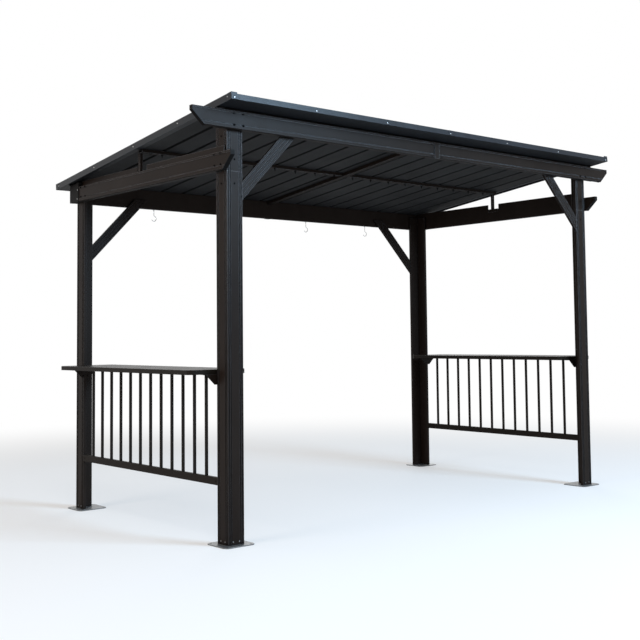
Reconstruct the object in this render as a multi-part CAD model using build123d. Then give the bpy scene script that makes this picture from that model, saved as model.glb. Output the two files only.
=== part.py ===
from build123d import *
import math
import os

os.makedirs("parts", exist_ok=True)

# Open metal gazebo with a single slope roof, four angle posts and a bar counter on each side.
# Millimetres. X runs along the front, Y from front to rear, Z up.
# The origin is on the ground, midway between the four posts.

# Posts
post_span_x = 3508.0        # outer face to outer face, along the front
post_span_y = 1934.0        # outer face to outer face, front to rear
post_leg = 112.0            # width of each leg of the angle
post_wall = 20.0            # thickness of each leg
post_joint_drop = 2.0       # the tall posts are spliced this far below the side beams
flute_width = 7.0
flute_depth = 4.0
flute_offsets = (11.0, 24.0)    # from each edge of a fluted face

# Base plates
plate_side = 214.0
plate_thickness = 6.0
plate_corner = 30.0
anchor_spacing = 170.0
anchor_hole = 12.0

# Headers and side beams
front_bottom_z = 2458.0     # underside of the front header
front_rail_height = 132.0   # from the underside of the front header to the roof
rear_rail_height = 144.0    # the same at the rear header
side_rail_height = 150.0
fascia_height = 107.0
fascia_depth = 30.0
fascia_wall = 3.0
fascia_web_inset = 3.0      # the web stands back between the two lips
fascia_top_lip = 11.0
fascia_low_lip = 24.0
fascia_groove = 4.0
fascia_chamfer = 5.0
rail_depth = 10.0           # flat rail between the posts and the fascia
rail_wall = 2.5
header_tail = 262.0         # how far the front fascia runs past the posts
side_tail = 96.0            # how far the side fascias run past the front posts
tail_rake = 87.0            # how far the slanted end cuts back
tail_nose = 27.0            # upright part of a slanted end
front_rail_overhang = 93.0
side_fascia_setback = 98.0  # the side fascias stop short of the rear face of the rear posts
corner_strip_width = 34.0   # raised strip on the caps of the rear corners
corner_strip_thickness = 2.0
side_rail_setback = 12.0
cap_thickness = 3.0
splice_width = 46.0
splice_thickness = 2.0
notch_half = 62.0           # notch in the side rail round the king post

# Roof
roof_pitch = 6.9            # degrees, falling to the rear
roof_overhang_x = 83.0      # past the posts, at each side
roof_overhang_y = 176.0     # past the posts, front and rear
trim_drop = 12.0            # below the underside of the panels
strip_rise = 23.0           # front and rear strips above the underside of the panels
rake_rise = 31.0            # side trims above the underside of the panels
trim_wall = 2.5
trim_top_flange = 34.0
trim_ledge = 60.0           # shelf that carries the edge of the panels
trim_lip = 14.0
soffit_depth = 160.0        # closed underside behind the front and rear strips
trim_clearance = 2.0        # room left round the trim where a rail runs under it
corner_cover = 42.0
cover_thickness = 1.5
joint_cover = 38.0
plank_count = 19
edge_rib_inset = 32.0       # middle of the outermost ribs inside the side trims
plank_skin = 1.5
rib_foot_half = 15.0        # the ribs stand up and are open from below
rib_crest_half = 10.0
rib_height = 15.5
seam_clearance = 1.0        # between the two sheets that lap in a rib
seam_lip = 8.0              # the lower sheet ends in a lip this long inside the upper one
plank_end_gap = 1.0

# Purlin, rafter and king posts
middle_y = 12.0             # the purlin and the notches lie a little behind the middle
purlin_width = 50.0
purlin_depth = 20.0         # below the panels, at the middle of the purlin
section_wall = 3.0
rafter_width = 44.0
rafter_depth = 27.0
king_side = 22.0
king_wall = 2.5
king_offset_x = 12.0        # middle of the king post past the outer face of the posts
king_plate = 3.0            # foot and head plates
king_foot_half = 52.0
king_foot_drop = 24.0       # flange of the foot plate, down the inner face of the side rail
king_head_reach = 80.0      # head plate inwards along the purlin
king_head_width = 36.0

# Knee braces
brace_width = 76.0
brace_run = 348.0           # from the post leg to the middle of the brace at the header
brace_drop = 362.0          # below the underside of the header
brace_lap = 60.0            # laps up over the header rail
brace_flute_spread = 22.0

# Railings and counters
rail_low_z = 344.0
rail_low_height = 46.0
rail_top_height = 8.0
railing_depth = 20.0
baluster_side = 15.0
baluster_count = 12
counter_top_z = 1028.0
counter_thickness = 28.0
counter_outside = 188.0     # reach outside the posts
counter_inside = 219.0      # reach inside the outer face of the posts
counter_end_gap = 4.0
counter_corner = 35.0
counter_edge = 3.0
gusset_top_half = 90.0
gusset_foot_half = 24.0
gusset_height = 62.0
gusset_plate = 6.0
gusset_flange = 30.0
gusset_flange_thickness = 4.0
gusset_clearance = 1.0      # between the bracket flanges and the top bar

# Hanging hooks
hook_rod = 5.0
hook_sides = 8              # sides of the rod's section
hook_radius = 20.0          # to the middle of the rod
hook_neck_radius = 8.0
hook_stem = 43.0
hook_wrap = 230.0           # degrees of the open ring
hook_outer_x = 1100.0
hook_inner_x = 410.0

# Derived places
half_x = post_span_x / 2
half_y = post_span_y / 2
slope = math.tan(math.radians(roof_pitch))
roof_seat_z = front_bottom_z + front_rail_height
rear_bottom_z = roof_seat_z - slope * post_span_y - rear_rail_height
post_joint_z = rear_bottom_z - post_joint_drop
tall_post_top = front_bottom_z + fascia_height
rear_post_top = rear_bottom_z + fascia_height
notch_floor_z = rear_bottom_z + fascia_height
counter_bottom_z = counter_top_z - counter_thickness
roof_half_x = half_x + roof_overhang_x
roof_half_y = half_y + roof_overhang_y
flat_half_y = roof_half_y / math.cos(math.radians(roof_pitch))
inside_trim_x = roof_half_x - trim_ledge - trim_clearance
under_trim_z = -trim_drop - trim_clearance
plank_pitch = 2 * (roof_half_x - edge_rib_inset) / plank_count
king_y = middle_y + (purlin_width - king_side) / 2
far = 3 * post_span_x       # longer than anything it cuts


def block(x0, x1, y0, y1, z0, z1):
    """A box between two corners."""
    box = Box(abs(x1 - x0), abs(y1 - y0), abs(z1 - z0))
    return Pos((x0 + x1) / 2, (y0 + y1) / 2, (z0 + z1) / 2) * box


def plate(outline, thickness, plane):
    """A closed outline on a plane, thickened along the plane's normal."""
    face = make_face(Polyline(*outline, close=True))
    return extrude(plane * face, amount=thickness)


def mirrored(shape, across_x=False, across_y=False):
    """The same piece on the other side."""
    if across_x:
        shape = mirror(shape, about=Plane.YZ)
    if across_y:
        shape = mirror(shape, about=Plane.XZ)
    return shape


def save(name, *solids):
    """Write one sub-part as its own file."""
    shape = Compound(children=list(solids)) if len(solids) > 1 else solids[0]
    shape.label = name
    export_step(shape, "parts/" + name + ".step")


def roof_underside(y):
    """Height of the underside of the panels at a place front to rear."""
    return roof_seat_z - slope * (y + half_y)


# The roof is drawn flat, its underside on z = 0 and its middle at the origin, and then tilted
roof_place = Pos(0, 0, roof_underside(0)) * Rot(-roof_pitch, 0, 0)
purlin_bottom_z = roof_underside(middle_y) - purlin_depth


def folded(chain, thickness):
    """Outline of a bent strip that lies on the left of a chain of points."""
    places = [complex(*point) for point in chain]
    ways = [(end - start) / abs(end - start) for start, end in zip(places, places[1:])]
    befores = ways[:1] + ways
    afters = ways + ways[-1:]
    edge = []
    for place, before, after in zip(places, befores, afters):
        middle = (before + after) / abs(before + after)
        edge.append(place + 1j * middle * thickness / (before * middle.conjugate()).real)
    return chain + [(place.real, place.imag) for place in reversed(edge)]


def under_roof(shape):
    """Cut a piece off along the underside of the panels."""
    above = Box(far, far, far, align=(Align.CENTER, Align.CENTER, Align.MIN))
    return shape - roof_place * above


# Posts
def post_outline():
    """Angle section with its outer corner at zero and flutes in both outer faces."""
    face = make_face(Polyline(
        (0, 0), (post_leg, 0), (post_leg, post_wall), (post_wall, post_wall),
        (post_wall, post_leg), (0, post_leg), close=True))
    for offset in flute_offsets:
        for place in (offset, post_leg - offset):
            face -= Pos(place, 0) * Rectangle(flute_width, 2 * flute_depth)
            face -= Pos(0, place) * Rectangle(2 * flute_depth, flute_width)
    return face


def post(z0, z1):
    """A front left post, standing between two heights."""
    return extrude(Pos(-half_x, -half_y, z0) * post_outline(), amount=z1 - z0)


tall_post = post(plate_thickness, post_joint_z)
post_extension = post(post_joint_z, tall_post_top)
short_post = post(plate_thickness, rear_post_top)
save("front_left_post", tall_post)
save("front_right_post", mirrored(tall_post, across_x=True))
save("front_left_post_extension", post_extension)
save("front_right_post_extension", mirrored(post_extension, across_x=True))
save("rear_left_post", mirrored(short_post, across_y=True))
save("rear_right_post", mirrored(short_post, across_x=True, across_y=True))


# Base plates
def base_plate():
    """Square plate with rounded corners and four anchor holes."""
    sketch = RectangleRounded(plate_side, plate_side, plate_corner)
    sketch -= GridLocations(anchor_spacing, anchor_spacing, 2, 2) * Circle(anchor_hole / 2)
    return extrude(sketch, amount=plate_thickness)


plate_x = half_x - post_leg / 2
plate_y = half_y - post_leg / 2
plates = [Pos(x, y, 0) * base_plate() for x in (-plate_x, plate_x) for y in (-plate_y, plate_y)]
save("base_plates", *plates)


# Fascias
def fascia_outline():
    """Section of a fascia: x is the depth from its back face, y is the height."""
    face_x = fascia_depth
    web_x = fascia_depth - fascia_web_inset
    low = fascia_low_lip
    top = fascia_height
    outer = Polyline(
        (0, 0), (face_x - fascia_chamfer, 0), (face_x, fascia_chamfer),
        (face_x, low), (web_x - fascia_web_inset, low),
        (web_x - fascia_web_inset, low + fascia_groove), (web_x, low + fascia_groove),
        (web_x, top - fascia_top_lip), (face_x, top - fascia_top_lip),
        (face_x, top), (0, top), close=True)
    cavity_x = web_x - fascia_web_inset - fascia_wall
    cavity = Pos(fascia_wall, fascia_wall) * Rectangle(
        cavity_x - fascia_wall, top - 2 * fascia_wall, align=(Align.MIN, Align.MIN))
    return make_face(outer) - cavity


def front_fascia(x0, x1):
    """Fascia on the front of the front header, between two places along it."""
    plane = Plane(origin=(x0, -half_y - rail_depth, front_bottom_z),
                  x_dir=(0, -1, 0), z_dir=(1, 0, 0))
    section = mirror(fascia_outline(), about=Plane.XZ)
    return extrude(plane * section, amount=x1 - x0)


def tail_cut(reach):
    """Corner taken off a slanted end whose tip is at x = -reach and whose foot is at z = 0."""
    return [(-reach, 0), (-reach + tail_rake, 0), (-reach, fascia_height - tail_nose)]


def slanted(shape, reach, place):
    """Slant the left end of a fascia laid along X."""
    plane = Plane(origin=(0, far / 2, 0), x_dir=(1, 0, 0), z_dir=(0, -1, 0))
    return shape - place * plate(tail_cut(reach), far, plane)


def tail_cap(reach):
    """Thin cap that closes a slanted end, laid along X with its foot at z = 0."""
    chain = [(-reach + tail_rake, 0), (-reach, fascia_height - tail_nose), (-reach, fascia_height)]
    plane = Plane(origin=(0, 0, 0), x_dir=(1, 0, 0), z_dir=(0, -1, 0))
    return plate(folded(chain, cap_thickness), fascia_depth, plane)


front_place = Pos(0, 0, front_bottom_z)
front_tip = half_x + header_tail
front_left = slanted(front_fascia(-front_tip, 0), front_tip, front_place)
save("front_header_left", front_left)
save("front_header_right", mirrored(front_left, across_x=True))


def long_fascia(x0, x1):
    """Fascia laid along X with its back face on y = 0, its face towards -Y and its foot at z = 0."""
    return Pos(0, half_y + rail_depth, -front_bottom_z) * front_fascia(x0, x1)


rear_back = mirrored(long_fascia(-half_x - rail_depth, 0), across_y=True)
rear_left = Pos(0, half_y + rail_depth, rear_bottom_z) * rear_back
save("rear_header_left", rear_left)
save("rear_header_right", mirrored(rear_left, across_x=True))

side_tip = half_y + side_tail
side_laid = slanted(long_fascia(-side_tip, half_y - side_fascia_setback), side_tip, Pos(0, 0, 0))
side_place = Pos(-half_x - rail_depth, 0, rear_bottom_z) * Rot(0, 0, 90)
left_side_beam = side_place * mirrored(side_laid, across_y=True)
save("left_side_beam", left_side_beam)
save("right_side_beam", mirrored(left_side_beam, across_x=True))



def corner_cap():
    """Hollow cap of the rear left corner, between the side fascia and the end of the rear header."""
    back = -half_x - rail_depth
    face = back - fascia_depth
    front = half_y - side_fascia_setback
    rear = half_y + rail_depth + fascia_depth
    inset = fascia_wall
    cap = block(face, back, front, rear, rear_bottom_z, roof_seat_z)
    cap += block(face - corner_strip_thickness, face, front, front + corner_strip_width,
                 rear_bottom_z, roof_seat_z)
    cap -= roof_place * block(-far, far, -far, far, under_trim_z, roof_seat_z)
    return cap - block(face + inset, back - inset, front + inset, rear - inset,
                       rear_bottom_z + inset, notch_floor_z)


front_cap = Pos(0, -half_y - rail_depth, front_bottom_z) * tail_cap(front_tip)
side_cap = side_place * mirrored(tail_cap(side_tip), across_y=True)
caps = [front_cap, side_cap, corner_cap()]
save("beam_end_caps", *caps, *[mirrored(cap, across_x=True) for cap in caps])


def header_splice(bottom_z):
    """Sleeve over the joint in the middle of a header, on its face and its underside."""
    face_y = -half_y - rail_depth - fascia_depth
    half = splice_width / 2
    face = block(-half, half, face_y - splice_thickness, face_y,
                 bottom_z - splice_thickness, bottom_z + fascia_height)
    foot = block(-half, half, face_y, -half_y - rail_depth, bottom_z - splice_thickness, bottom_z)
    return face + foot


save("header_splices", header_splice(front_bottom_z),
     mirrored(header_splice(rear_bottom_z), across_y=True))


# Rails behind the fascias
def header_rail(reach, bottom_z, y0, y1):
    """Flat hollow rail along X, its top cut to the slope of the roof and stepped under the side trims."""
    high = roof_seat_z + post_leg
    rail = under_roof(block(-reach, reach, y0, y1, bottom_z, high))
    rail -= roof_place * block(-far, -inside_trim_x, -far, far, under_trim_z, high)
    rail -= roof_place * block(inside_trim_x, far, -far, far, under_trim_z, high)
    core_reach = min(reach, inside_trim_x) - rail_wall
    core_top = min(roof_underside(y0), roof_underside(y1)) - rail_wall
    return rail - block(-core_reach, core_reach, y0 + rail_wall, y1 - rail_wall,
                        bottom_z + rail_wall, core_top)


save("front_header_rail", header_rail(half_x + front_rail_overhang, front_bottom_z,
                                      -half_y - rail_depth, -half_y))
save("rear_header_rail", header_rail(half_x + rail_depth, rear_bottom_z, half_y, half_y + rail_depth))


def side_rail():
    """Flat rail on the left posts with a notch in its top round the king post."""
    x0 = -half_x - rail_depth
    top_z = rear_bottom_z + side_rail_height
    rail = under_roof(block(x0, -half_x, -half_y + side_rail_setback, half_y, rear_bottom_z, top_z))
    rail -= block(x0, -half_x, middle_y - notch_half, middle_y + notch_half, notch_floor_z, top_z)
    core_top = notch_floor_z - rail_wall
    rail -= block(x0 + rail_wall, -half_x - rail_wall, -half_y + side_rail_setback + rail_wall,
                  half_y - rail_wall, rear_bottom_z + rail_wall, core_top)
    return rail


save("left_side_rail", side_rail())
save("right_side_rail", mirrored(side_rail(), across_x=True))


# Purlin, rafter and king posts
def purlin():
    """Left half of the middle purlin, a closed section whose top lies against the panels."""
    front = middle_y - purlin_width / 2
    rear = middle_y + purlin_width / 2
    bar = block(-inside_trim_x, -rafter_width / 2, front, rear, purlin_bottom_z, roof_seat_z)
    core = block(-inside_trim_x, -rafter_width / 2, front + section_wall, rear - section_wall,
                 purlin_bottom_z + section_wall, roof_underside(rear) - section_wall)
    return under_roof(bar) - core


save("middle_purlin_left", purlin())
save("middle_purlin_right", mirrored(purlin(), across_x=True))


def rafter():
    """Hollow rafter under the middle of the roof, between the two header rails."""
    def bar(inset):
        half = rafter_width / 2 - inset
        foot = rafter_depth - inset
        outline = [(-half_y, roof_underside(-half_y) - inset),
                   (half_y, roof_underside(half_y) - inset),
                   (half_y, roof_underside(half_y) - foot),
                   (-half_y, roof_underside(-half_y) - foot)]
        plane = Plane(origin=(-half, 0, 0), x_dir=(0, 1, 0), z_dir=(1, 0, 0))
        return plate(outline, 2 * half, plane)
    return bar(0) - bar(section_wall)


save("middle_rafter", rafter())


def king_post():
    """Short post from the notch in the left side rail up to the purlin, on a folded foot plate."""
    x = -half_x - king_offset_x
    half = king_side / 2
    inner = half - king_wall
    foot_z = notch_floor_z + king_plate
    head_z = purlin_bottom_z - king_plate
    foot = block(x - half, -half_x + king_plate, middle_y - king_foot_half, middle_y + king_foot_half,
                 notch_floor_z, foot_z)
    flange = block(-half_x, -half_x + king_plate, middle_y - king_foot_half, middle_y + king_foot_half,
                   notch_floor_z - king_foot_drop, foot_z)
    head = block(x - half, x + king_head_reach, king_y + half - king_head_width, king_y + half,
                 head_z, purlin_bottom_z)
    stem = block(x - half, x + half, king_y - half, king_y + half, foot_z, head_z)
    core = block(x - inner, x + inner, king_y - inner, king_y + inner, foot_z, head_z)
    return foot + flange + head + (stem - core)


save("left_king_post", king_post())
save("right_king_post", mirrored(king_post(), across_x=True))


# Roof panels
def plank_outline():
    """Section of one plank from rib to rib: it laps over its left neighbour and under its right one."""
    lean = (rib_foot_half - rib_crest_half) / rib_height
    lift = plank_skin + seam_clearance
    shift = lift * math.hypot(1, lean)
    crest = rib_height + lift
    next_rib = plank_pitch
    chain = [(-rib_foot_half + lean * lift - shift, lift),
             (-rib_foot_half + lean * crest - shift, crest),
             (rib_foot_half - lean * crest, crest),
             (rib_foot_half, 0),
             (next_rib - rib_foot_half, 0),
             (next_rib - rib_crest_half, rib_height),
             (next_rib + rib_crest_half - shift, rib_height),
             (next_rib + rib_crest_half - shift + lean * seam_lip, rib_height - seam_lip)]
    return folded(chain, plank_skin)


def plank(index):
    """One plank in its place across the roof."""
    start = -plank_pitch * plank_count / 2 + index * plank_pitch
    reach = flat_half_y - trim_wall - plank_end_gap
    plane = Plane(origin=(start, reach, 0), x_dir=(1, 0, 0), z_dir=(0, -1, 0))
    return roof_place * plate(plank_outline(), 2 * reach, plane)


middle_plank = plank_count // 2
save("roof_panels_left", *[plank(i) for i in range(middle_plank)])
save("roof_panels_right", *[plank(i) for i in range(middle_plank, plank_count)])


def trim_outline(rise):
    """Section of the edge trim, x inwards from its outer face: top flange, shelf and bottom lip."""
    flange_z = rise - trim_wall
    lip_z = -trim_drop + trim_wall
    return [(0, -trim_drop), (trim_lip, -trim_drop), (trim_lip, lip_z),
            (trim_wall, lip_z), (trim_wall, -trim_wall), (trim_ledge, -trim_wall),
            (trim_ledge, 0), (trim_wall, 0), (trim_wall, flange_z),
            (trim_top_flange, flange_z), (trim_top_flange, rise), (0, rise)]


def trim_bar(half_length, rise, mitre_start, mitre_end):
    """Trim laid along X with its outer face on y = 0, mitred where asked."""
    plane = Plane(origin=(-half_length, 0, 0), x_dir=(0, 1, 0), z_dir=(1, 0, 0))
    bar = plate(trim_outline(rise), 2 * half_length, plane)
    side = 4 * trim_ledge
    wedge = Box(side, side, side, align=(Align.MAX, Align.MIN, Align.CENTER))
    if mitre_start:
        bar -= Pos(-half_length, 0, 0) * Rot(0, 0, -45) * wedge
    if mitre_end:
        bar -= Pos(half_length, 0, 0) * mirrored(Rot(0, 0, -45) * wedge, across_x=True)
    return bar


half_trim = roof_half_x / 2
front_trim_flat = Pos(-half_trim, -flat_half_y, 0) * trim_bar(half_trim, strip_rise, True, False)
front_trim_flat += block(-roof_half_x + trim_lip + trim_clearance, 0, -flat_half_y + trim_wall,
                         -flat_half_y + soffit_depth, -trim_drop, -trim_drop + trim_wall)
rear_trim_flat = mirrored(front_trim_flat, across_y=True)
rake_flat = Pos(-roof_half_x, 0, 0) * Rot(0, 0, -90) * trim_bar(flat_half_y, rake_rise, True, True)
save("front_trim_left", roof_place * front_trim_flat)
save("front_trim_right", roof_place * mirrored(front_trim_flat, across_x=True))
save("rear_trim_left", roof_place * rear_trim_flat)
save("rear_trim_right", roof_place * mirrored(rear_trim_flat, across_x=True))
save("left_rake_trim", roof_place * rake_flat)
save("right_rake_trim", roof_place * mirrored(rake_flat, across_x=True))


def corner_piece():
    """Thin angle over the front left corner of the trim."""
    x0 = -roof_half_x - cover_thickness
    y0 = -flat_half_y - cover_thickness
    outer = block(x0, x0 + corner_cover, y0, y0 + corner_cover, -trim_drop, rake_rise)
    inner = block(x0 + cover_thickness, x0 + corner_cover, y0 + cover_thickness, y0 + corner_cover,
                  -trim_drop, rake_rise)
    return outer - inner


def joint_piece():
    """Thin cover over the joint in the middle of the front trim."""
    y0 = -flat_half_y - cover_thickness
    return block(-joint_cover / 2, joint_cover / 2, y0, -flat_half_y, -trim_drop, strip_rise)


covers = [mirrored(corner_piece(), across_x=x, across_y=y) for x in (False, True) for y in (False, True)]
covers += [joint_piece(), mirrored(joint_piece(), across_y=True)]
save("roof_trim_covers", *[roof_place * cover for cover in covers])


# Knee braces
def knee_brace(bottom_z):
    """Brace from the inner edge of the front left post up to the header rail."""
    x0 = -half_x + post_leg
    angle = math.atan2(brace_drop, brace_run)
    along = (math.cos(angle), math.sin(angle))
    foot_z = bottom_z - brace_drop
    reach = 2 * brace_drop
    plane = Plane(origin=(x0, -half_y, foot_z), x_dir=(along[0], 0, along[1]), z_dir=(0, 1, 0))
    bar = extrude(plane * Rectangle(2 * reach, brace_width), amount=post_wall)
    for spread in (-brace_flute_spread, 0, brace_flute_spread):
        flute = extrude(plane * Pos(0, spread) * Rectangle(2 * reach, flute_width), amount=post_wall)
        groove = Pos(0, flute_depth - post_wall, 0) * flute
        bar -= groove
        bar -= Pos(0, 2 * (post_wall - flute_depth), 0) * groove
    keep = block(x0, x0 + far, -half_y, -half_y + post_wall, 0, bottom_z + brace_lap)
    return bar & keep


front_brace = knee_brace(front_bottom_z)
rear_brace = mirrored(knee_brace(rear_bottom_z), across_y=True)
save("front_left_brace", front_brace)
save("front_right_brace", mirrored(front_brace, across_x=True))
save("rear_left_brace", rear_brace)
save("rear_right_brace", mirrored(rear_brace, across_x=True))


# Railings
def railing():
    """Left railing: a bottom rail, a top bar and a row of balusters between the posts."""
    x0 = -half_x
    x1 = -half_x + railing_depth
    low_top = rail_low_z + rail_low_height
    high_bottom = counter_bottom_z - rail_top_height
    reach = half_y - post_leg
    shape = block(x0, x1, -reach, reach, rail_low_z, low_top)
    top_reach = reach - gusset_plate
    shape += block(x0, x1, -top_reach, top_reach, high_bottom, counter_bottom_z)
    step = 2 * reach / (baluster_count + 1)
    middle_x = (x0 + x1) / 2
    half = baluster_side / 2
    for i in range(baluster_count):
        y = -reach + (i + 1) * step
        shape += block(middle_x - half, middle_x + half, y - half, y + half, low_top, high_bottom)
    return shape


save("left_railing", railing())
save("right_railing", mirrored(railing(), across_x=True))


# Counters
def counter():
    """Left bar counter, a closed folded panel with rounded corners and a softened top edge."""
    x0 = -half_x - counter_outside
    x1 = -half_x + counter_inside
    reach = half_y - post_leg - counter_end_gap
    sketch = RectangleRounded(x1 - x0, 2 * reach, counter_corner)
    slab = extrude(Pos((x0 + x1) / 2, 0, counter_bottom_z) * sketch, amount=counter_thickness)
    return chamfer(slab.edges().group_by(Axis.Z)[-1], counter_edge)


save("left_counter", counter())
save("right_counter", mirrored(counter(), across_x=True))


def gusset():
    """Bracket on the front left post that carries one end of the counter."""
    middle_x = -half_x + railing_depth / 2
    y0 = -half_y + post_leg
    top = counter_bottom_z
    foot = counter_bottom_z - gusset_height
    outline = [(middle_x - gusset_top_half, top), (middle_x + gusset_top_half, top),
               (middle_x + gusset_foot_half, foot), (middle_x - gusset_foot_half, foot)]
    plane = Plane(origin=(0, y0 + gusset_plate, 0), x_dir=(1, 0, 0), z_dir=(0, -1, 0))
    web = plate(outline, gusset_plate, plane)
    flange_z = top - gusset_flange_thickness
    clear = railing_depth / 2 + gusset_clearance
    for side in (-1, 1):
        web += block(middle_x + side * clear, middle_x + side * gusset_top_half,
                     y0 + gusset_plate, y0 + gusset_flange, flange_z, top)
    return web


gussets = [mirrored(gusset(), across_x=x, across_y=y) for x in (False, True) for y in (False, True)]
save("counter_brackets", *gussets)


# Hooks
def hook(x):
    """Open hook screwed up into the rear header."""
    turn = math.degrees(math.acos(hook_neck_radius / (hook_neck_radius + hook_radius)))
    stem = Line((0, 0), (0, -hook_stem))
    neck = JernArc(stem @ 1, stem % 1, hook_neck_radius, turn)
    ring = JernArc(neck @ 1, neck % 1, hook_radius, -hook_wrap)
    place = Plane(origin=(x, half_y + rail_depth + fascia_depth / 2, rear_bottom_z),
                  x_dir=(1, 0, 0), z_dir=(0, -1, 0))
    path = place * (stem + neck + ring)
    section = Plane(origin=place.origin, z_dir=(0, 0, -1)) * RegularPolygon(hook_rod / 2, hook_sides)
    return sweep(section, path=path)


save("left_hooks", hook(-hook_outer_x), hook(-hook_inner_x))
save("right_hooks", hook(hook_inner_x), hook(hook_outer_x))
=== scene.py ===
# %% [markdown]
# An open metal gazebo
#
# The gazebo is a frame of dark bronze powder coated steel: four fluted angle posts, pairs of beams with
# slanted tails, knee braces, a single slope roof of ribbed planks, and a bar counter over a railing at
# each side. Its structure comes ready made from the solid model, in metres, with the origin on the
# ground between the posts. This script gives those pieces their finishes, adds the bolts, screws and
# hooks that are too fine for the solid model, and sets up the light and the camera.

# %% Open the frame
import math

import bmesh
import bpy
from mathutils import Matrix, Vector


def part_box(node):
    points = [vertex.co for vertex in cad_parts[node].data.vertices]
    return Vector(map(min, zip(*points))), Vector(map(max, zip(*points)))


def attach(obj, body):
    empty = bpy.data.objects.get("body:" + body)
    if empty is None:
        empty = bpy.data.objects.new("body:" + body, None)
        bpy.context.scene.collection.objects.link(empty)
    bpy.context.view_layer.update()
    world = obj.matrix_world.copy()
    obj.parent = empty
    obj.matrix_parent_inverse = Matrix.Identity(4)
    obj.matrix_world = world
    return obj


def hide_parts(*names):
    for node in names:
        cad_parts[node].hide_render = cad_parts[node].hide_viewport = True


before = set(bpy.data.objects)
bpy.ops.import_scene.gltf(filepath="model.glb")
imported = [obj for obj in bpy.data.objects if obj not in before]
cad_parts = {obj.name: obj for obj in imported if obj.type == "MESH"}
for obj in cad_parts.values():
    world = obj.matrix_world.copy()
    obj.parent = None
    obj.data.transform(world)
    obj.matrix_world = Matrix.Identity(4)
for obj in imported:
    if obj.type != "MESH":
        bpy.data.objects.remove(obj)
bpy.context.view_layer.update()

# %% [markdown]
# Places on the frame
#
# Every small piece sits on something that the solid model already has, so its place is read from the
# box of that node. Nothing is measured twice, and a bolt follows its beam if the beam moves. The gazebo
# is nearly symmetric, so a side is -1 at the left and 1 at the right, and a depth is -1 at the front and
# 1 at the rear.

# %% Read the main places
post_low, post_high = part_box("front_left_post")
header_low, header_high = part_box("front_header_left")
side_low, side_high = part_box("left_side_beam")
rear_low, rear_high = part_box("rear_header_left")
purlin_low, purlin_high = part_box("middle_purlin_left")
half_span = -post_low[0]
half_depth = -post_low[1]
leg = post_high[0] - post_low[0]
leg_middle = half_span - leg / 2
joint_height = post_high[2]
both = (-1, 1)
halves = {"left": -1, "right": 1}
ends = {"front": -1, "rear": 1}
corners = [(f"{end}_{half}", side, depth) for end, depth in ends.items() for half, side in halves.items()]
print("post leg:", round(leg, 3), "half span:", round(half_span, 3), "half depth:", round(half_depth, 3))

# %% [markdown]
# Shader maths in plain Python
#
# A finish is a small network of nodes. Wiring it by hand hides the idea, so a class wraps one socket
# and lets it be used like a number: `1 - mask` adds a Math node and gives back its result. Colours and
# vectors never go through a Math node, because that turns a colour grey. Every other kind of node
# comes from one method, which takes its type, its settings and what goes into its sockets.


# %% A socket that can do arithmetic
class Flow:
    """One socket of a finish. Arithmetic on it adds Math nodes."""

    def __init__(self, tree, socket=None):
        self.tree = tree
        self.socket = socket

    def make(self, kind, settings=(), inputs=(), output=0):
        """Adds any node and returns one of its outputs as a Flow."""
        node = self.tree.nodes.new(kind)
        for name, value in dict(settings).items():
            setattr(node, name, value)
        for name, value in dict(inputs).items():
            if isinstance(value, Flow):
                self.tree.links.new(value.socket, node.inputs[name])
            else:
                node.inputs[name].default_value = value
        return Flow(self.tree, node.outputs[output])

    def math(self, operation, first, second=0.0):
        """Adds one Math node."""
        return self.make("ShaderNodeMath", {"operation": operation}, {0: first, 1: second})

    def __add__(self, other):
        return self.math("ADD", self, other)

    def __radd__(self, other):
        return self.math("ADD", other, self)

    def __sub__(self, other):
        return self.math("SUBTRACT", self, other)

    def __rsub__(self, other):
        return self.math("SUBTRACT", other, self)

    def __mul__(self, other):
        return self.math("MULTIPLY", self, other)

    def __rmul__(self, other):
        return self.math("MULTIPLY", other, self)

    def __pow__(self, other):
        return self.math("POWER", self, other)

    def above(self, edge, width):
        """Rises from 0 to 1 over a band that starts at the edge."""
        ramp = {"interpolation_type": "SMOOTHSTEP"}
        band = {"Value": self, "From Min": edge, "From Max": edge + width}
        return self.make("ShaderNodeMapRange", ramp, band)

    def blend(self, first, second):
        """Mixes two colours, with this value as the factor."""
        node = self.tree.nodes.new("ShaderNodeMix")
        node.data_type = "RGBA"
        self.tree.links.new(self.socket, node.inputs["Factor"])
        for socket, value in ((node.inputs[6], first), (node.inputs[7], second)):
            if isinstance(value, Flow):
                self.tree.links.new(value.socket, socket)
            else:
                socket.default_value = (*value, 1.0)
        return Flow(self.tree, node.outputs[2])


print("arithmetic on sockets ready")
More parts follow.
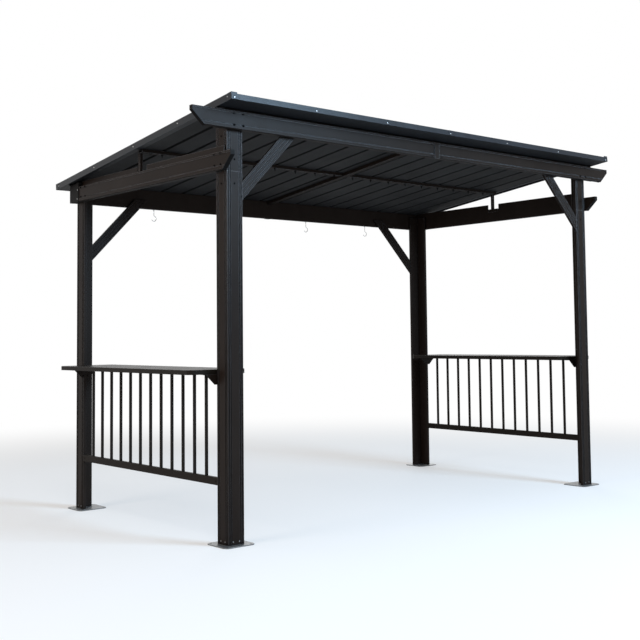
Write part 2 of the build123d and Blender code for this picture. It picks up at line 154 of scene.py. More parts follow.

# %% [markdown]
# What every finish shares
#
# Steel that is rolled, folded and coated has no knife edges, and its coat is thinner and a little
# lighter over each arris; the finishes add a painted highlight there, and painted shade in the grooves.
# Modelling a one millimetre round on every edge would cost a great many faces. The Bevel node rounds
# only the shading, and how far its normal leans tells where an edge is. The Ambient Occlusion node tells
# where a groove is.


# %% Start and end of a finish
class Finish:
    """A material with one main shader, whose sockets are set or fed by name."""

    def __init__(self, name, **constants):
        self.material = bpy.data.materials.new(name)
        self.material.use_nodes = True
        self.tree = self.material.node_tree
        self.shader = self.tree.nodes["Principled BSDF"]
        self.start = Flow(self.tree)
        for socket, value in constants.items():
            self.shader.inputs[socket.replace("_", " ")].default_value = value

    def place(self):
        """Position on the object in metres."""
        return self.start.make("ShaderNodeTexCoord", output="Object")

    def along(self, axis):
        """Position along one axis of the object in metres."""
        return self.start.make("ShaderNodeSeparateXYZ", {}, {"Vector": self.place()}, output=axis)

    def noise(self, scale, detail=3.0, stretch=(1.0, 1.0, 1.0)):
        """Cloudy variation from 0 to 1, finer as the scale grows."""
        where = self.start.make("ShaderNodeMapping", {}, {"Vector": self.place(), "Scale": stretch})
        return self.start.make("ShaderNodeTexNoise", {"noise_dimensions": "3D"},
                               {"Vector": where, "Scale": scale, "Detail": detail})

    def feed(self, socket, flow):
        """Links a flow to one socket of the main shader."""
        self.tree.links.new(flow.socket, self.shader.inputs[socket])

    def soft_edge(self, radius):
        """The normal of a rounded edge, as every folded or sawn edge has."""
        return self.start.make("ShaderNodeBevel", {"samples": 4}, {"Radius": radius})

    def relief(self, height, depth, edge=0.0):
        """Feeds a bump, over edges softened by a small radius."""
        inputs = {"Height": height, "Strength": 1.0, "Distance": depth}
        if edge:
            inputs["Normal"] = self.soft_edge(edge)
        self.feed("Normal", self.start.make("ShaderNodeBump", {}, inputs))

    def arris(self, radius):
        """1 on a sharp edge and 0 on a flat, from how far the rounded normal leans."""
        flat = self.start.make("ShaderNodeNewGeometry", output="Normal")
        lean = self.start.make("ShaderNodeVectorMath", {"operation": "DOT_PRODUCT"},
                               {0: self.soft_edge(radius), 1: flat}, output="Value")
        return ((1.0 - lean) * 4.0).above(0.1, 0.9)

    def open_air(self, reach):
        """1 on an open face, falling towards 0 in a groove or a corner."""
        return self.start.make("ShaderNodeAmbientOcclusion", {"samples": 4},
                               {"Distance": reach}, output="AO")

    def facing_up(self, edge, width):
        """0 on a face that looks down, rising to 1 on one that looks up."""
        normal = self.start.make("ShaderNodeNewGeometry", output="True Normal")
        upward = self.start.make("ShaderNodeSeparateXYZ", {}, {"Vector": normal}, output="Z")
        return upward.above(edge, width)


print("finish tools ready")

# %% [markdown]
# Powder coat
#
# The frame is steel with a dark bronze powder coat. Powder melts into a skin that is never quite flat:
# a fine orange peel, a satin gloss that varies a little from place to place, and a skin that pulls thin
# and a touch lighter over sharp edges; on top of that the edges get a painted highlight. An image could
# show that, but noise in object space keeps its scale on every piece, long or short, and needs no
# unwrapping. The painted edge highlight is strongest high up and at the front, and weakest at the rear,
# where the roof shades. Grooves and faces that look down are painted darker as shade, and dust from the
# ground dulls the feet. The railings keep dark edges, because their bars are so thin that a light edge
# would cover them whole.


# %% Powder coat for the frame
worn_and_lit_edge_width = 0.0032
fold_radius = 0.0014


def powder_coat(name, deep, light, arris_tone, gloss, level, peel=0.00012, groove=0.012):
    """Satin powder coat between two close colours, lighter on its edges from wear and a painted highlight,
    with painted shade in grooves and underneath, and dull with dust low down.
    """
    finish = Finish(name, Specular_IOR_Level=level)
    cloud = finish.noise(2.6, 4.0)
    grain = finish.noise(420.0, 2.0)
    smear = finish.noise(14.0, 5.0, stretch=(1.0, 1.0, 0.25))
    tone = cloud * 0.5 + grain * 0.2 + smear * 0.3
    skin = tone.above(0.3, 0.4).blend(deep, light)
    open_air = finish.open_air(groove)
    # Painted light: the edge highlight is stronger high up, and weaker towards the rear, where the roof
    # shades.
    high_up = finish.along("Z").above(0.8, 1.4)
    to_rear = finish.along("Y").above(0.2, 0.8)
    painted_light_reach = (0.3 + high_up * 0.7) * (1.0 - to_rear * 0.75)
    # The lighter edges are partly worn coat and partly a painted highlight.
    edge_wear_and_highlight = finish.arris(worn_and_lit_edge_width) * open_air * (0.6 + finish.noise(35.0) * 0.6) * painted_light_reach
    edged = edge_wear_and_highlight.blend(skin, arris_tone)
    # Painted shade darkens the grooves and corners.
    groove_shaded = (open_air ** 1.6).blend(tuple(value * 0.25 for value in deep), edged)
    # Painted shade darkens the faces that look down.
    shade = (1.0 - finish.facing_up(-0.8, 0.4)) * 0.6
    under = shade.blend(groove_shaded, tuple(value * 0.3 for value in deep))
    dust = (1.0 - finish.along("Z").above(0.01, 0.22)) * smear.above(0.4, 0.3)
    dusty = tuple(value * 1.6 + 0.008 for value in light)
    finish.feed("Base Color", (dust * 0.3).blend(under, dusty))
    finish.feed("Roughness", gloss + (smear - 0.5) * 0.16 + (grain - 0.5) * 0.08 + dust * 0.15 + shade * 0.5)
    finish.relief(finish.noise(650.0, 2.0) + cloud * 2.0, peel, edge=fold_radius)
    return finish.material


frame_coat = powder_coat("frame_powder_coat", (0.0096, 0.0062, 0.0047), (0.0145, 0.0098, 0.0076),
                         (0.240, 0.245, 0.260), gloss=0.42, level=0.07)
rail_coat = powder_coat("railing_powder_coat", (0.0090, 0.0068, 0.0052), (0.0135, 0.0104, 0.0082),
                        (0.020, 0.018, 0.016), gloss=0.45, level=0.05)
counter_coat = powder_coat("counter_powder_coat", (0.0085, 0.0066, 0.0052), (0.0130, 0.0102, 0.0082),
                           (0.045, 0.043, 0.038), gloss=0.34, level=0.05, peel=0.00008)
trim_coat = powder_coat("trim_coat", (0.0090, 0.0105, 0.0135), (0.0140, 0.0165, 0.0205),
                        (0.080, 0.100, 0.130), gloss=0.32, level=0.17, peel=0.00006, groove=0.03)
cap_plastic = powder_coat("end_cap_plastic", (0.0060, 0.0056, 0.0056), (0.0085, 0.0080, 0.0080),
                          (0.020, 0.020, 0.020), gloss=0.55, level=0.06, peel=0.00020)
print("coats:", frame_coat.name, counter_coat.name, trim_coat.name, cap_plastic.name)

# %% [markdown]
# Coated roof sheet
#
# The planks are rolled from coil that was painted flat. The upper face has the weather coat, smooth and
# a little glossy. The lower face has only a thin matt backing coat, so under the roof the sheet looks
# dull and dark. Rolling leaves long shallow waves along the slope, which break up what light there is.


# %% Roof sheet
def coil_coat(name):
    """Coil coating, satin above and matt below, with waves along the slope, lighter rib edges partly from
    wear and partly a painted highlight, and painted shade in the grooves.
    """
    finish = Finish(name, Specular_IOR_Level=0.065)
    wave = finish.noise(7.0, 2.0, stretch=(1.0, 0.12, 1.0))
    patch = finish.noise(3.2, 3.0)
    speck = finish.noise(260.0, 2.0)
    facing_up = finish.facing_up(-0.2, 0.4)
    tone = (wave * 0.35 + patch * 0.45 + speck * 0.2).above(0.35, 0.3)
    skin = tone.blend((0.0085, 0.0085, 0.0088), (0.0170, 0.0168, 0.0170))
    open_air = finish.open_air(0.02)
    # The rib edges are lighter, partly worn coat and partly a painted highlight.
    edge_wear_and_highlight = finish.arris(0.0018) * open_air
    edged = (edge_wear_and_highlight * 0.6).blend(skin, (0.055, 0.056, 0.058))
    # Painted shade darkens the rib grooves.
    finish.feed("Base Color", (open_air ** 2.0).blend((0.0015, 0.0015, 0.0016), edged))
    finish.feed("Roughness", 0.72 - facing_up * 0.34 + (wave - 0.5) * 0.16 + (speck - 0.5) * 0.06)
    finish.relief(wave + speck * 0.04, 0.0009, edge=0.0012)
    return finish.material


roof_coat = coil_coat("roof_coil_coat")
print("roof:", roof_coat.name)

# %% [markdown]
# Bare metals and rubber
#
# The base plates are hot dip galvanised: zinc grows in flat crystals that each catch the light in
# another way, so a Voronoi pattern sets both the tone and the gloss. The hooks and screws are bright
# zinc plated, smoother and more even. The bolts through the beams are blackened. The roof screws seal
# on washers of black rubber.


# %% Zinc, black bolts and rubber
def zinc(name, low, high, spangle, gloss, metal=0.85, level=0.5):
    """Zinc surface with crystals of one size, and painted shade in its hollows."""
    finish = Finish(name, Metallic=metal, Specular_IOR_Level=level)
    crystal = finish.start.make("ShaderNodeTexVoronoi", {"feature": "F1"},
                                {"Vector": finish.place(), "Scale": spangle}, output="Color")
    tone = finish.start.make("ShaderNodeSeparateColor", {}, {"Color": crystal}, output="Red")
    stain = finish.noise(18.0, 4.0)
    skin = (tone * 0.5 + stain * 0.5).blend(low, high)
    # Painted shade darkens the hollows.
    hollow_shade = tuple(value * 0.4 for value in low)
    finish.feed("Base Color", (finish.open_air(0.01) ** 1.5).blend(hollow_shade, skin))
    finish.feed("Roughness", gloss + (tone - 0.5) * 0.14 + (stain - 0.5) * 0.1)
    finish.relief(finish.noise(240.0) + tone * 0.4, 0.00012, edge=0.0008)
    return finish.material


def rubber(name):
    """Dull black rubber with a bloom of dust."""
    finish = Finish(name, Specular_IOR_Level=0.2)
    bloom = finish.noise(90.0, 4.0)
    finish.feed("Base Color", bloom.blend((0.010, 0.010, 0.010), (0.028, 0.027, 0.026)))
    finish.feed("Roughness", 0.7 + (bloom - 0.5) * 0.3)
    finish.relief(bloom, 0.0002)
    return finish.material


plate_zinc = zinc("galvanised_plate", (0.16, 0.165, 0.17), (0.30, 0.305, 0.31), 130.0, 0.42)
bright_zinc = zinc("bright_zinc", (0.50, 0.51, 0.52), (0.68, 0.68, 0.68), 900.0, 0.28, metal=1.0)
black_steel = zinc("blackened_bolts", (0.0015, 0.0015, 0.0015), (0.0030, 0.0030, 0.0030), 500.0, 0.6,
                   metal=0.0, level=0.03)
dull_zinc = zinc("dull_zinc", (0.20, 0.20, 0.20), (0.34, 0.34, 0.34), 500.0, 0.4)
seal_rubber = rubber("seal_rubber")
print("metals:", plate_zinc.name, bright_zinc.name, black_steel.name, seal_rubber.name)

# %% [markdown]
# Dress the solid nodes
#
# The shapes of the structure are right as they are, so each node keeps its mesh and only changes its
# finish, by the kind of piece that its name tells.


# %% Give each node its finish
def finish_for(node):
    """The finish that a node of this name has."""
    if node == "base_plates":
        return plate_zinc
    if node.endswith("hooks"):
        return bright_zinc
    if node == "beam_end_caps":
        return cap_plastic
    if node.startswith("roof_panels"):
        return roof_coat
    if "trim" in node:
        return trim_coat
    if node.endswith("_counter"):
        return counter_coat
    if node.endswith("_railing"):
        return rail_coat
    return frame_coat


for node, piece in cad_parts.items():
    for place in piece.material_slots:
        place.material = finish_for(node)
print("dressed:", len(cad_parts))

# %% [markdown]
# A blank for turned and bent pieces
#
# Bolts, nuts and washers are turned or pressed round an axis, and a hook is a rod bent along a line.
# Both are rows of rings, so one small class makes both. It takes a profile of heights and radii, where
# a ring may have corners, as the head of a bolt or the socket in it has. Many copies go into one mesh,
# so a row of screws is one piece with a name.


# %% The blank
class Blank:
    """A mesh that grows shape by shape, and ends as one named piece on the frame."""

    def __init__(self):
        self.build = bmesh.new()

    def skin(self, rings):
        """Joins rings of points to a closed shape with flat ends."""
        rows = [[self.build.verts.new(point) for point in ring] for ring in rings]
        for low, high in zip(rows, rows[1:]):
            for step in range(len(low)):
                self.build.faces.new((low[step - 1], low[step], high[step], high[step - 1]))
        self.build.faces.new(list(reversed(rows[0])))
        self.build.faces.new(rows[-1])

    def turned(self, foot, axis, profile, sides=24):
        """Turns a profile of (height, radius) or (height, radius, corners) round an axis."""
        axis = Vector(axis).normalized()
        across = axis.orthogonal().normalized()
        beside = axis.cross(across)
        rings = []
        for height, radius, *corners in profile:
            ring = []
            for step in range(sides):
                angle = 2 * math.pi * step / sides
                reach = radius
                if corners:
                    half = math.pi / corners[0]
                    reach *= math.cos(half) / math.cos(angle % (2 * half) - half)
                arm = across * math.cos(angle) + beside * math.sin(angle)
                ring.append(Vector(foot) + axis * height + arm * reach)
            rings.append(ring)
        self.skin(rings)

    def bent(self, line, radii, sides=14):
        """A round rod along a line of points, with a radius at each point."""
        side = None
        rings = []
        for index, (point, radius) in enumerate(zip(line, radii)):
            ahead = line[min(index + 1, len(line) - 1)] - line[max(index - 1, 0)]
            ahead.normalize()
            side = ahead.orthogonal() if side is None else side - ahead * side.dot(ahead)
            side.normalize()
            over = ahead.cross(side)
            turns = [2 * math.pi * step / sides for step in range(sides)]
            rings.append([point + (side * math.cos(turn) + over * math.sin(turn)) * radius for turn in turns])
        self.skin(rings)

    def piece(self, name, finish, slot):
        """Closes the mesh, names it and fixes it on the frame."""
        bmesh.ops.recalc_face_normals(self.build, faces=self.build.faces)
        mesh = bpy.data.meshes.new(name)
        self.build.to_mesh(mesh)
        self.build.free()
        mesh.materials.append(finish)
        mesh.shade_smooth()
        mesh.set_sharp_from_angle(angle=math.radians(40))
        made = bpy.data.objects.new(name, mesh)
        bpy.context.scene.collection.objects.link(made)
        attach(made, "root")
        print(f"{name}: {sum(len(face.vertices) - 2 for face in mesh.polygons)} triangles")
        return made


print("blank ready")

# %% [markdown]
# Where a screw sits
#
# The beams have lips and grooves, so a screw placed by a plain number could float or drown. A ray along
# the screw's own axis finds the face it bears on, as the tip of a drill would.


# %% Find the face under a screw
far_out = 3.0


def seat(start, way, *nodes):
    """The nearest point of these nodes on a line from start along way."""
    start = Vector(start)
    found = []
    for node in nodes:
        hit, spot, _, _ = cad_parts[node].ray_cast(start, Vector(way))
        if hit:
            found.append(spot)
    if not found:
        raise ValueError(f"no face under a screw at {tuple(start)}")
    return min(found, key=lambda spot: (spot - start).length)


def seat_across(x, z, depth, *nodes):
    """The outermost face of these nodes, seen from the front or the rear."""
    return seat((x, depth * far_out, z), (0, -depth, 0), *nodes)


def seat_along(side, y, z, *nodes):
    """The outermost face of these nodes, seen from the left or the right."""
    return seat((side * far_out, y, z), (-side, 0, 0), *nodes)


print("a post face:", [round(v, 3) for v in seat_across(-leg_middle, 1.0, -1, "front_left_post")])

# %% [markdown]
# Kinds of screw
#
# Three heads are enough for the whole gazebo. A button head with a hex socket and a washer holds the
# beams, a pan head holds thin plates, and a hex head with a pressed flange holds the roof sheets. Each
# is a profile of heights and radii in terms of its own head radius, so one drawing serves all sizes. A
# head starts a fraction of a millimetre inside its face, so that no gap shows under it.


# %% Heads, nuts and threads
sunk = 0.0004


def washer(blank, spot, way, radius, thickness=0.0014):
    """Flat washer with broken edges."""
    edge = thickness * 0.3
    disc = [(0, radius - edge), (edge, radius), (thickness, radius), (thickness + edge, radius - edge)]
    blank.turned(Vector(spot) - Vector(way) * sunk, way, disc)


def button_head(blank, spot, way, radius):
    """Domed bolt head with a hex socket, on its washer."""
    washer(blank, spot, way, radius * 1.32)
    tall = radius * 0.62
    socket = radius * 0.46
    foot = Vector(spot) + Vector(way) * 0.0012
    dome = [(0, radius * 0.98), (tall * 0.12, radius), (tall * 0.45, radius * 0.93),
            (tall * 0.78, radius * 0.76), (tall * 0.95, radius * 0.56), (tall, socket * 1.06)]
    blank.turned(foot, way, dome + [(tall * 0.97, socket, 6), (tall * 0.35, socket * 0.96, 6)])


def pan_head(blank, spot, way, radius, share=0.7):
    """Low rounded head of a thread cutting screw, with a square drive."""
    tall = radius * share
    drive = radius * 0.38
    foot = Vector(spot) - Vector(way) * sunk
    head = [(0, radius), (tall * 0.4, radius), (tall * 0.8, radius * 0.82), (tall, radius * 0.5)]
    blank.turned(foot, way, head + [(tall * 0.98, drive, 4), (tall * 0.5, drive * 0.9, 4)], sides=16)


def hex_head(blank, spot, way, radius):
    """Hex head with a pressed flange and a chamfered top."""
    flange = radius * 1.35
    head = [(0, flange), (0.0008, flange), (0.0014, flange * 0.9), (0.0016, radius, 6),
            (radius * 0.85, radius, 6), (radius * 1.05, radius * 0.78)]
    blank.turned(Vector(spot) - Vector(way) * sunk / 2, way, head)


def screw_end(blank, spot, way, length, radius):
    """Threaded end that stands out of a beam, with its nut and a cone point."""
    nut_radius = radius * 2.1
    nut = [(0, nut_radius * 0.92), (0.0008, nut_radius, 6), (0.0044, nut_radius, 6),
           (0.0052, nut_radius * 0.84), (0.0052, radius)]
    blank.turned(Vector(spot) - Vector(way) * sunk, way, nut)
    pitch = 0.0016
    thread = [(0.0, radius)]
    for turn in range(int((length - radius * 2) / pitch)):
        valley = turn * pitch
        thread += [(valley + pitch / 2, radius * 0.8), (valley + pitch, radius)]
    thread.append((length, radius * 0.25))
    blank.turned(Vector(spot), way, thread, sides=12)


print("screws ready")

# %% [markdown]
# Bolts through the headers
#
# Two bolts side by side, in two rows, hold the fascia and the flat rail of a header to each post. In
# the picture they are the dark dots near the top of the fascia and in the groove above its lip. Dots of
# dark colour would show them from afar, but a real head also catches light and casts a shadow. They are
# drawn where they show, and the back follows from symmetry.

# %% Header bolts
bolt_gap = 0.066
bolt_radius = 0.0055
bolt_shift = 0.006
top_row = 0.012
low_row = 0.023


def header_bolts(end, depth, low, high):
    """The bolts of one header at both posts, on its outer face."""
    drawn = Blank()
    for half, side in halves.items():
        for shift in both:
            x = side * (leg_middle - bolt_shift) + shift * bolt_gap / 2
            for z in (high[2] - top_row, low[2] + low_row):
                spot = seat_across(x, z, depth, f"{end}_header_{half}")
                button_head(drawn, spot, (0, depth, 0), bolt_radius)
    drawn.piece(f"{end}_header_bolts", black_steel, "dark_frame")


header_bolts("front", -1, header_low, header_high)
header_bolts("rear", 1, rear_low, rear_high)

# %% [markdown]
# Bolts through the side beams
#
# A side beam is bolted to its front and its rear post in the same way, with slightly smaller heads. The
# rear pair is measured from the end of the beam, because the beam stops short of the corner there.

# %% Side beam bolts
front_inset = 0.044
rear_inset = 0.063
side_top_row = 0.009
side_low_row = 0.032
side_bolts = Blank()
for half, side in halves.items():
    for middle in (front_inset - half_depth, side_high[1] - rear_inset):
        for shift in both:
            y = middle + shift * bolt_gap / 2
            for z in (side_high[2] - side_top_row, side_low[2] + side_low_row):
                spot = seat_along(side, y, z, f"{half}_side_beam")
                button_head(side_bolts, spot, (side, 0, 0), bolt_radius * 0.9)
side_bolts.piece("side_beam_bolts", black_steel, "dark_frame")

# %% [markdown]
# Screws of the header splices
#
# Each header comes in two halves, because a beam of four metres is hard to pack. A sleeve joins them in
# the middle, with two small screws at each side of it. Pan heads are enough here, since the sleeve
# carries the load.

# %% Header splices
splice_reach = 0.05
splice_rows = (0.010, 0.094)
splice_screws = Blank()
for (end, depth), bottom in zip(ends.items(), (header_low[2], rear_low[2])):
    for half, side in halves.items():
        for row in splice_rows:
            spot = seat_across(side * splice_reach, bottom + row, depth, f"{end}_header_{half}")
            pan_head(splice_screws, spot, (0, depth, 0), 0.0045)
splice_screws.piece("header_splice_screws", black_steel, "dark_frame")

# %% [markdown]
# Screws of the post joints
#
# The front posts are spliced above the side beams. On the front face a screw sits just below and just
# above the joint. On the outer face the side beam covers the joint, so the upper screw sits higher.

# %% Post joints
joint_reach = 0.073
upper_reach = 0.214
joint_screw = 0.0045
post_screws = Blank()
for half, side in halves.items():
    lengths = (f"front_{half}_post", f"front_{half}_post_extension")
    for z in (joint_height - joint_reach, joint_height + joint_reach):
        spot = seat_across(side * leg_middle, z, -1, *lengths)
        button_head(post_screws, spot, (0, -1, 0), joint_screw)
    for z in (joint_height - joint_reach, joint_height + upper_reach):
        spot = seat_along(side, leg / 2 - half_depth, z, *lengths)
        button_head(post_screws, spot, (side, 0, 0), joint_screw)
post_screws.piece("post_joint_screws", black_steel, "dark_frame")

# %% [markdown]
# Screws of the post feet
#
# Each post is screwed to the upstand of its base plate, with two screws in each outer face. These are
# left in plain zinc, and in the picture they show as pale dots just above the ground.

# %% Post feet
foot_height = 0.023
foot_gap = 0.044
small_screw = 0.0042
foot_screws = Blank()
for corner, side, depth in corners:
    post = f"{corner}_post"
    for shift in both:
        spot = seat_across(side * leg_middle + shift * foot_gap / 2, foot_height, depth, post)
        pan_head(foot_screws, spot, (0, depth, 0), small_screw)
        y = depth * (half_depth - leg / 2) + shift * foot_gap / 2
        pan_head(foot_screws, seat_along(side, y, foot_height, post), (side, 0, 0), small_screw)
foot_screws.piece("post_foot_screws", dull_zinc, "bright_steel")

# %% [markdown]
# Screws of the knee braces
#
# The foot of a brace stands against the inner edge of its post, and two screws in the face of the post
# hold it. Their height is read from the foot of the brace.

# %% Brace screws
brace_inset = 0.0055
brace_rows = (0.022, 0.074)
frame_screws = Blank()
for corner, side, depth in corners:
    foot = round(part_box(f"{corner}_brace")[0][2], 3)
    for row in brace_rows:
        spot = seat_across(side * (half_span - leg + brace_inset), foot + row, depth, f"{corner}_post")
        pan_head(frame_screws, spot, (0, depth, 0), small_screw)
print("foot of a rear brace:", foot)

# %% [markdown]
# Screws of the railings and brackets
#
# A railing is fixed at the four ends of its two bars, from the outside. The brackets under the counter
# are screwed from between the posts, two screws each. They join the brace screws in one piece, since
# all of them are small dark fasteners of the same kind.

# %% Railing and bracket screws
rail_inset = 0.018
low_bar_row = 0.023
top_bar_row = 0.004
bracket_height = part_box("counter_brackets")[0][2] + 0.014
bracket_inset = 0.010
bracket_gap = 0.034
between_posts = 0.5
for half, side in halves.items():
    rail_low, rail_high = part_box(f"{half}_railing")
    for depth in both:
        for z in (rail_low[2] + low_bar_row, rail_high[2] - top_bar_row):
            spot = seat_along(side, depth * (rail_high[1] - rail_inset), z, f"{half}_railing")
            pan_head(frame_screws, spot, (side, 0, 0), 0.0038)
        for shift in both:
            x = side * (half_span - bracket_inset) + shift * bracket_gap / 2
            spot = seat((x, depth * between_posts, bracket_height), (0, depth, 0), "counter_brackets")
            pan_head(frame_screws, spot, (0, -depth, 0), small_screw)
frame_screws.piece("frame_screws", black_steel, "dark_frame")

# %% [markdown]
# Screw ends under the purlin
#
# Each plank is screwed through its rib to the middle purlin, and the threaded ends with their nuts hang
# in a row under it. The ribs are 190 mm apart, and the row starts half a plank from the middle. From
# below they are the short dark teeth of the picture, so a cylinder would do, but the thread and the nut
# cost little.

# %% Purlin screw ends
up = Vector((0, 0, 1))
down = -up
below_roof = 2.0
rib_pitch = 0.19
rib_row = [(step + 0.5) * rib_pitch for step in range(9)]
purlin_row = purlin_low[1] + 0.017
washer_height = 0.0014
purlin_ends = Blank()
for half, side in halves.items():
    for reach in rib_row:
        spot = seat((side * reach, purlin_row, below_roof), up, f"middle_purlin_{half}")
        washer(purlin_ends, spot, down, 0.0105)
        screw_end(purlin_ends, spot + down * washer_height, down, 0.021, 0.0040)
purlin_ends.piece("purlin_screw_ends", black_steel, "dark_frame")

# %% [markdown]
# Screws of the king posts
#
# Each king post stands on a small folded foot, with two screws in the inner face of the side rail, and
# carries the purlin on a head plate with two more. At the middle rafter, two screws hold the inner end
# of each half of the purlin.

# %% King post screws
king_inner = 1.70
foot_plate_inset = 0.016
foot_plate_row = 0.012
head_reach = 0.010
below_head = 2.40
purlin_middle = (purlin_low[1] + purlin_high[1]) / 2
purlin_inner = 0.048
king_screws = Blank()
for half, side in halves.items():
    king = f"{half}_king_post"
    king_low, king_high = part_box(king)
    for y in (king_low[1] + foot_plate_inset, king_high[1] - foot_plate_inset):
        spot = seat((side * king_inner, y, king_low[2] + foot_plate_row), (side, 0, 0), king)
        pan_head(king_screws, spot, (-side, 0, 0), small_screw)
    for shift in both:
        spot = seat((side * king_inner, purlin_middle + shift * head_reach, below_head), up, king)
        pan_head(king_screws, spot, down, small_screw)
    for shift in both:
        start = (side * purlin_inner, purlin_middle + shift * 0.012, below_roof)
        pan_head(king_screws, seat(start, up, f"middle_purlin_{half}"), down, small_screw)
king_screws.piece("king_post_screws", black_steel, "dark_frame")

# %% [markdown]
# Screws on the roof
#
# From above, the sheets show a row of hex heads on every rib, over the front header, the purlin and the
# rear header, each on a rubber washer that keeps the rain out. They stand square to the slope of the
# roof. The threads over the purlin are those made above, and the others end inside the headers, so each
# screw here is only a head on its washer.

# %% Roof screws
header_row = half_depth + 0.004
roof_fall = 0.12
square_to_roof = Vector((0.0, roof_fall, 1.0)).normalized()
roof_screws = Blank()
seals = Blank()
for y in (-header_row, purlin_row, header_row):
    for side in both:
        for reach in rib_row:
            spot = seat((side * reach, y, far_out), down, "roof_panels_left", "roof_panels_right")
            washer(seals, spot, square_to_roof, 0.0075, 0.0016)
            hex_head(roof_screws, spot + square_to_roof * 0.0014, square_to_roof, 0.0046)
roof_screws.piece("roof_screws", bright_zinc, "bright_steel")
seals.piece("roof_screw_seals", seal_rubber, "dark_frame")

# %% [markdown]
# Screws of the roof trim
#
# The trim has small bright screws in its corner pieces and joint covers, and along each run. Their heads
# are flat at the front and the rear, so that they stay within the covers. Along the sides they follow
# the slope, which is worked out from the boxes of the covers and the rear trim.

# %% Trim screws
trim_screw = 0.0040
flat_share = 0.35
corner_reach = 1.816
run_row = [-corner_reach, *[0.6 * step for step in range(-2, 3)], corner_reach]
side_row = [0.55 * step for step in range(-2, 3)]
side_middle = 2.483
cover_low, cover_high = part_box("roof_trim_covers")
front_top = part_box("front_trim_left")[1][2]
rear_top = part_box("rear_trim_left")[1][2]
slope = (cover_high[2] - rear_top) / (cover_low[1] - cover_high[1])
trims = [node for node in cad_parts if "trim" in node]
trim_screws = Blank()
for x in run_row:
    for depth, z in ((-1, front_top - 0.024), (1, rear_top - 0.020)):
        pan_head(trim_screws, seat_across(x, z, depth, *trims), (0, depth, 0), trim_screw, flat_share)
for side in both:
    for y in side_row:
        spot = seat_along(side, y, side_middle + slope * y, *trims)
        pan_head(trim_screws, spot, (side, 0, 0), trim_screw)
trim_screws.piece("trim_screws", bright_zinc, "bright_steel")
print("slope of the trim:", round(slope, 4))

# %% [markdown]
# Rivets of the rear corner caps
#
# A flat cap closes each rear corner, where the side beam meets the rear header. Two bright rivets hold
# it at its front edge, and the picture shows them at the left corner.

# %% Corner rivets
rivet_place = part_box("beam_end_caps")[1][1] - 0.123
corner_rivets = Blank()
for side in both:
    for z in (rear_low[2] + 0.020, rear_high[2] - 0.022):
        spot = seat_along(side, rivet_place, z, "beam_end_caps")
        pan_head(corner_rivets, spot, (side, 0, 0), 0.0036)
corner_rivets.piece("corner_rivets", bright_zinc, "bright_steel")

# %% [markdown]
# The line of a hook
#
# Four open hooks hang from the rear header. The solid model keeps them as bars with few sides, so that
# it stays light. Here each one is a round rod on the same line: a straight stem, a short bend aside and
# an open ring. The bend ends where the ring begins and in the same direction, so its angle follows from
# the two radii.

# %% Draw the line of a hook
hook_rod = 0.0025
hook_stem = 0.043
neck_radius = 0.008
ring_radius = 0.020
ring_turn = math.radians(230)
neck_turn = math.acos(neck_radius / (neck_radius + ring_radius))
stem_steps = 12
neck_steps = 8
ring_steps = 48


def arc_point(radius, turn, x, z):
    """A point of a circle round (x, z), in the plane of the hook."""
    return Vector((x + radius * math.cos(turn), 0.0, z + radius * math.sin(turn)))


def hook_line():
    """Middle line of a hook from its top down."""
    line = [Vector((0.0, 0.0, -hook_stem * step / stem_steps)) for step in range(stem_steps)]
    for step in range(neck_steps + 1):
        turn = math.pi + neck_turn * step / neck_steps
        line.append(arc_point(neck_radius, turn, neck_radius, -hook_stem))
    drop = -hook_stem - (neck_radius + ring_radius) * math.sin(neck_turn)
    for step in range(1, ring_steps + 1):
        turn = neck_turn - ring_turn * step / ring_steps
        line.append(arc_point(ring_radius, turn, 0.0, drop))
    return line


print("points on a hook:", len(hook_line()), "turn of its neck:", round(math.degrees(neck_turn), 1))

# %% [markdown]
# The hooks
#
# The rod follows the line and is rounded at its tip. A thread, a nut and a washer hold it under the
# header. The round hooks take the place of the bars, so that the two don't show at once.

# %% Bend the hooks
hook_places = {"left_hooks": (-1.100, -0.410), "right_hooks": (0.410, 1.100)}
tip_shares = (0.35, 0.72, 0.93)
thread_pitch = 0.0012
thread_turns = 14
hook_nut = [(0, 0.0052), (0.0006, 0.0057, 6), (0.0040, 0.0057, 6), (0.0046, 0.0050)]


def hook(blank, top):
    """One hook with its thread, nut and washer."""
    line = [top + point for point in hook_line()]
    radii = [hook_rod] * len(line)
    for back, share in enumerate(tip_shares):
        radii[-1 - back] = hook_rod * share
    blank.bent(line, radii)
    washer(blank, top, down, 0.0068, 0.0012)
    blank.turned(top + down * 0.0014, down, hook_nut)
    thread = []
    for turn in range(thread_turns):
        valley = thread_pitch * turn
        thread += [(valley, hook_rod * 1.02), (valley + thread_pitch / 2, hook_rod * 1.16)]
    blank.turned(top, down, thread, sides=12)


for bars, places in hook_places.items():
    bar_low, bar_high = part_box(bars)
    drawn = Blank()
    for x in places:
        hook(drawn, Vector((x, (bar_low[1] + bar_high[1]) / 2, bar_high[2])))
    made = drawn.piece(f"{bars}_round", bright_zinc, "bright_steel")
    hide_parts(bars)

# %% [markdown]
# A white surround
#
# The object is dark, so what shapes it is mostly what it reflects. The surround lights it with only part
# of its strength. Rays that go straight to the camera, or by a mirror reflection or through glass, find
# it plain white. A stronger light would whiten the background too, but it would wash out the coat.


# %% World
def seen_directly(tree):
    """1 for camera, mirror and glass rays, 0 for the light that falls on a surface."""
    rays = [Flow(tree).make("ShaderNodeLightPath", output=name)
            for name in ("Is Camera Ray", "Is Glossy Ray", "Is Transmission Ray")]
    seen = rays[0] + rays[1] + rays[2]
    seen.socket.node.use_clamp = True
    return seen


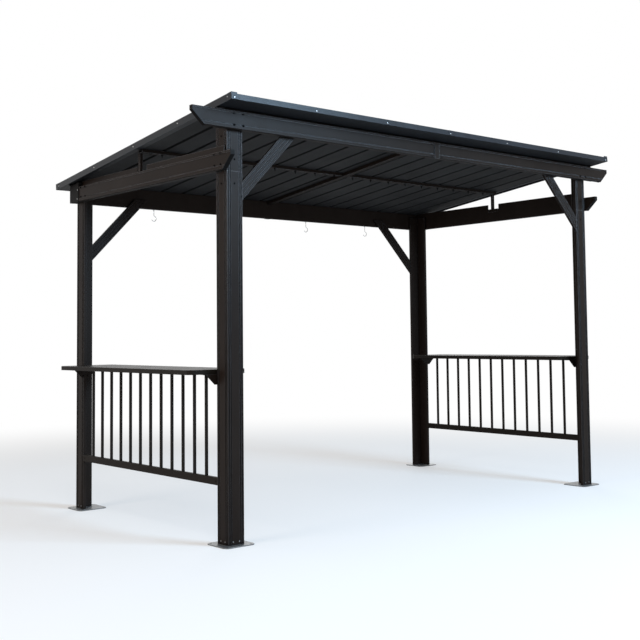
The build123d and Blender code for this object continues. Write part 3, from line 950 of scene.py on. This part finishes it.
world = bpy.data.worlds.new("surround")
bpy.context.scene.world = world
world.use_nodes = True
sky = world.node_tree
surround = sky.nodes["Background"]
surround.inputs["Color"].default_value = (1.0, 1.0, 1.0, 1.0)
fill_level = 0.44
level = seen_directly(sky) * (1.0 - fill_level) + fill_level
sky.links.new(level.socket, surround.inputs["Strength"])
print("fill level:", fill_level)

# %% [markdown]
# Four soft lamps
#
# A large cool lamp at the front stands for the open sky, which tints the front faces blue. A weaker warm
# one beside the left end gives the brown of the side faces. A small key from above and a rim light from
# behind keep the top and the back readable from other sides. Large lamps give soft shadows and long
# quiet highlights, as a bright overcast day does.


# %% Lamps
def soft_lamp(name, place, size, power, tint=(1.0, 1.0, 1.0), target=(0.0, 0.0, 1.3)):
    """A large square lamp aimed at a point of the gazebo."""
    light = bpy.data.lights.new(name, "AREA")
    light.shape = "SQUARE"
    light.size = size
    light.energy = power
    light.color = tint
    holder = bpy.data.objects.new(name, light)
    bpy.context.scene.collection.objects.link(holder)
    holder.location = place
    aim = Vector(target) - Vector(place)
    holder.rotation_mode = "QUATERNION"
    holder.rotation_quaternion = aim.to_track_quat("-Z", "Y")
    return holder


soft_lamp("sky_lamp", (2.0, -7.4, 4.6), 2.8, 800.0, (0.52, 0.76, 1.0), (-1.2, -1.0, 2.3))
soft_lamp("key_lamp", (-5.0, -7.0, 7.0), 2.5, 115.0, (1.0, 0.97, 0.94), (-0.8, 0.0, 1.6))
soft_lamp("side_lamp", (-9.0, -0.5, 3.2), 3.0, 215.0, (1.0, 0.84, 0.72))
soft_lamp("rim_lamp", (6.5, 7.0, 5.5), 4.0, 140.0)
print("lamps:", len(bpy.data.lights))

# %% [markdown]
# A paper floor
#
# The object stands on white paper. Near the object the paper takes its shadow, and farther out it fades
# to plain white, so that there is no horizon. It lies half a millimetre under the base plates, because
# two faces at one height would flicker.

# %% Floor
floor_reach = 60.0
floor_drop = 0.0005
near_white = 0.35
fade_start = 3.2
fade_width = 5.0
mesh = bpy.data.meshes.new("floor")
paper_edge = [(x * floor_reach, y * floor_reach, 0.0) for x, y in ((-1, -1), (1, -1), (1, 1), (-1, 1))]
mesh.from_pydata(paper_edge, [], [(0, 1, 2, 3)])
floor = bpy.data.objects.new("floor", mesh)
floor.location = (0.0, 0.0, -floor_drop)
bpy.context.scene.collection.objects.link(floor)
paper = Finish("floor_paint", Roughness=0.9, Specular_IOR_Level=0.0, Base_Color=(0.90, 0.90, 0.90, 1.0))
white = paper.start.make("ShaderNodeEmission", {}, {"Strength": 1.0})
away = paper.start.make("ShaderNodeVectorMath", {"operation": "LENGTH"}, {0: paper.place()}, output="Value")
share = seen_directly(paper.tree) * (near_white + away.above(fade_start, fade_width) * (1.0 - near_white))
coat = Flow(paper.tree, paper.shader.outputs["BSDF"])
mix = paper.start.make("ShaderNodeMixShader", {}, {0: share, 1: coat, 2: white})
paper.tree.links.new(mix.socket, paper.tree.nodes["Material Output"].inputs["Surface"])
mesh.materials.append(paper.material)
print("paper from edge to edge:", 2 * floor_reach, "m")

# %% [markdown]
# The camera
#
# The camera stands where the picture was taken from, over a metre above the ground and in front of
# the left side. Its place, turn and lens come from matching the posts, beams and roof edges to their
# places in the picture. The small shift is how far the picture is cropped off its middle.

# %% Camera
lens_pixels = 1040.61
frame_pixels = 640.0
picture_middle = (350.71, 269.70)
yaw, pitch, roll = 0.7173, 0.0619, -0.0121
camera_place = Vector((-5.2412, -6.0762, 1.2280))
ahead = Vector((math.sin(yaw) * math.cos(pitch), math.cos(yaw) * math.cos(pitch), math.sin(pitch)))
level_right = Vector((math.cos(yaw), -math.sin(yaw), 0.0))
level_up = level_right.cross(ahead)
right = level_right * math.cos(roll) + level_up * math.sin(roll)
up = level_up * math.cos(roll) - level_right * math.sin(roll)
lens = bpy.data.cameras.new("camera")
lens.sensor_fit = "HORIZONTAL"
lens.sensor_width = 36.0
lens.lens = lens_pixels / frame_pixels * lens.sensor_width
lens.shift_x = (frame_pixels / 2 - picture_middle[0]) / frame_pixels
lens.shift_y = (picture_middle[1] - frame_pixels / 2) / frame_pixels
lens.clip_end = 200.0
camera = bpy.data.objects.new("camera", lens)
bpy.context.scene.collection.objects.link(camera)
turn = Matrix((right, up, -ahead)).transposed().to_4x4()
camera.matrix_world = Matrix.Translation(camera_place) @ turn
bpy.context.scene.camera = camera
bpy.context.scene.view_settings.view_transform = "Standard"
print("lens:", round(lens.lens, 2), "shift:", round(lens.shift_x, 4), round(lens.shift_y, 4))
